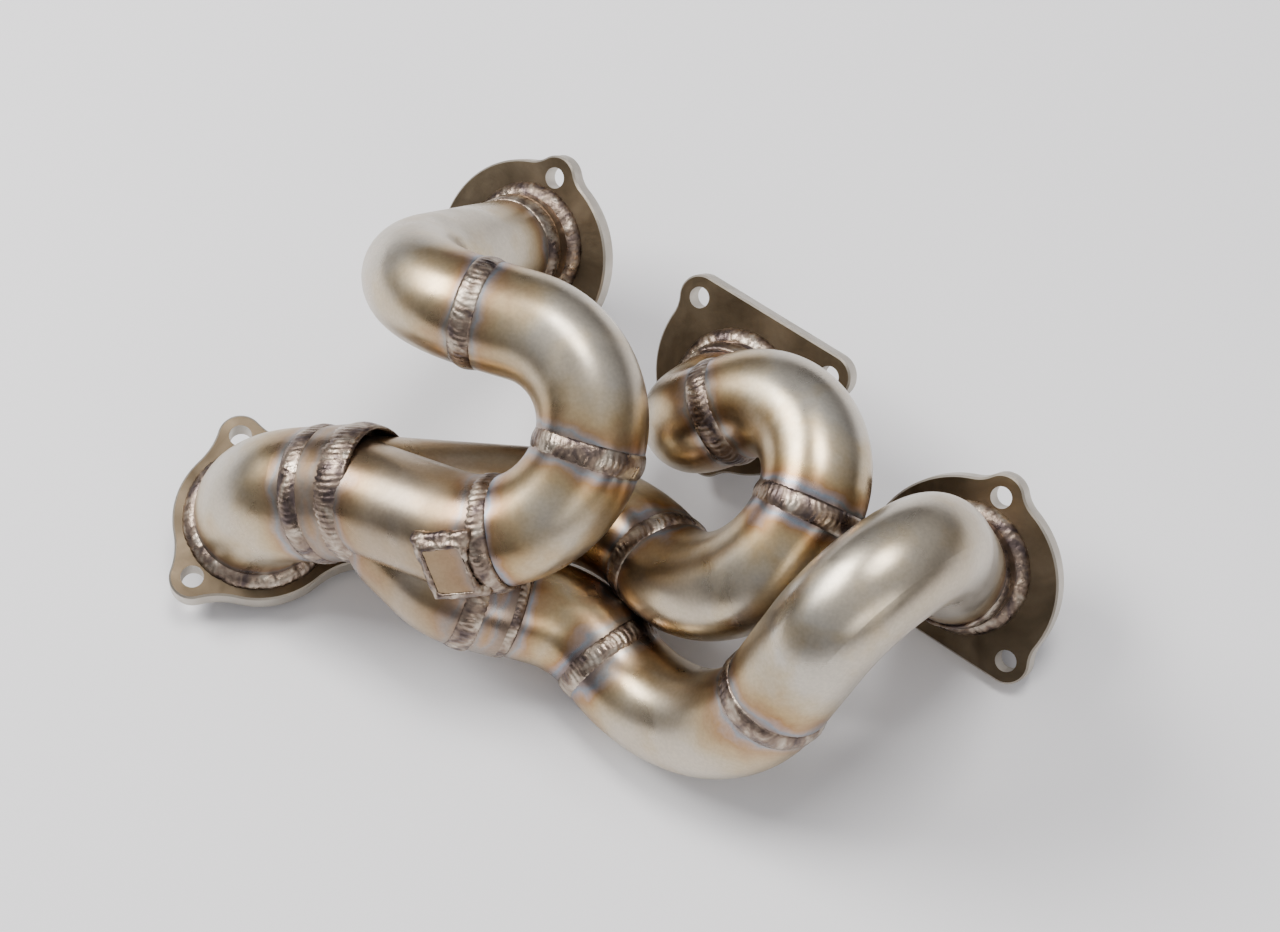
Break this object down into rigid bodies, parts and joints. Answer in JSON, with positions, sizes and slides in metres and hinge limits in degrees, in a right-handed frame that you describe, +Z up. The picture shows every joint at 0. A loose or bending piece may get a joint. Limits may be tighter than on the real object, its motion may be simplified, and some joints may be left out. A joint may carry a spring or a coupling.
{
  "type": "exhaust manifold",
  "caption": "Welded tubular exhaust manifold: bent steel runners with bolted port flanges join in a collector with an angled outlet flange.",
  "frame": {"origin": "centre of the bounding box on the bench plane", "axes": "+X from the outlet towards the ports, +Z up as it lies on a bench"},
  "size_m": [0.36, 0.2908, 0.1552],
  "materials": {
    "tube_steel": "satin stainless tube, straw and blue heat tint beside the seams",
    "stub_steel": "satin stainless collar, darker from welding heat",
    "collector_steel": "satin stainless with brown heat tint",
    "flange_plate": "bronze-brown heat tinted plate with bright machined edges",
    "weld_bead": "rippled weld metal"
  },
  "bodies": {
    "root": {"collector_branch_1": "collector_steel", "collector_branch_2": "collector_steel", "collector_branch_3": "collector_steel", "collector_neck": "collector_steel", "collector_weld_1": "weld_bead", "collector_weld_2": "weld_bead", "collector_weld_3": "weld_bead", "filler_plate": "collector_steel", "filler_weld": "weld_bead", "neck_weld_inner": "weld_bead", "neck_weld_outer": "weld_bead", "outlet_elbow": "tube_steel", "outlet_flange": "flange_plate", "outlet_flange_weld": "weld_bead", "port_flange_1": "flange_plate", "port_flange_2": "flange_plate", "port_flange_3": "flange_plate", "port_flange_weld_1": "weld_bead", "port_flange_weld_2": "weld_bead", "port_flange_weld_3": "weld_bead", "port_stub_1": "stub_steel", "port_stub_2": "stub_steel", "port_stub_3": "stub_steel", "port_stub_weld_1": "weld_bead", "port_stub_weld_2": "weld_bead", "port_stub_weld_3": "weld_bead", "runner_1_collector_elbow": "tube_steel", "runner_1_middle_elbow": "tube_steel", "runner_1_return_bend": "tube_steel", "runner_1_weld_1": "weld_bead", "runner_1_weld_2": "weld_bead", "runner_2_collector_tube": "tube_steel", "runner_2_flange_elbow": "tube_steel", "runner_2_lower_elbow": "tube_steel", "runner_2_upper_elbow": "tube_steel", "runner_2_weld_1": "weld_bead", "runner_2_weld_2": "weld_bead", "runner_2_weld_3": "weld_bead", "runner_3_collector_tube": "tube_steel", "runner_3_flange_bend": "tube_steel", "runner_3_lower_elbow": "tube_steel", "runner_3_sleeve": "collector_steel", "runner_3_weld_1": "weld_bead", "runner_3_weld_2": "weld_bead", "runner_3_weld_3": "weld_bead"}
  },
  "joints": []
}
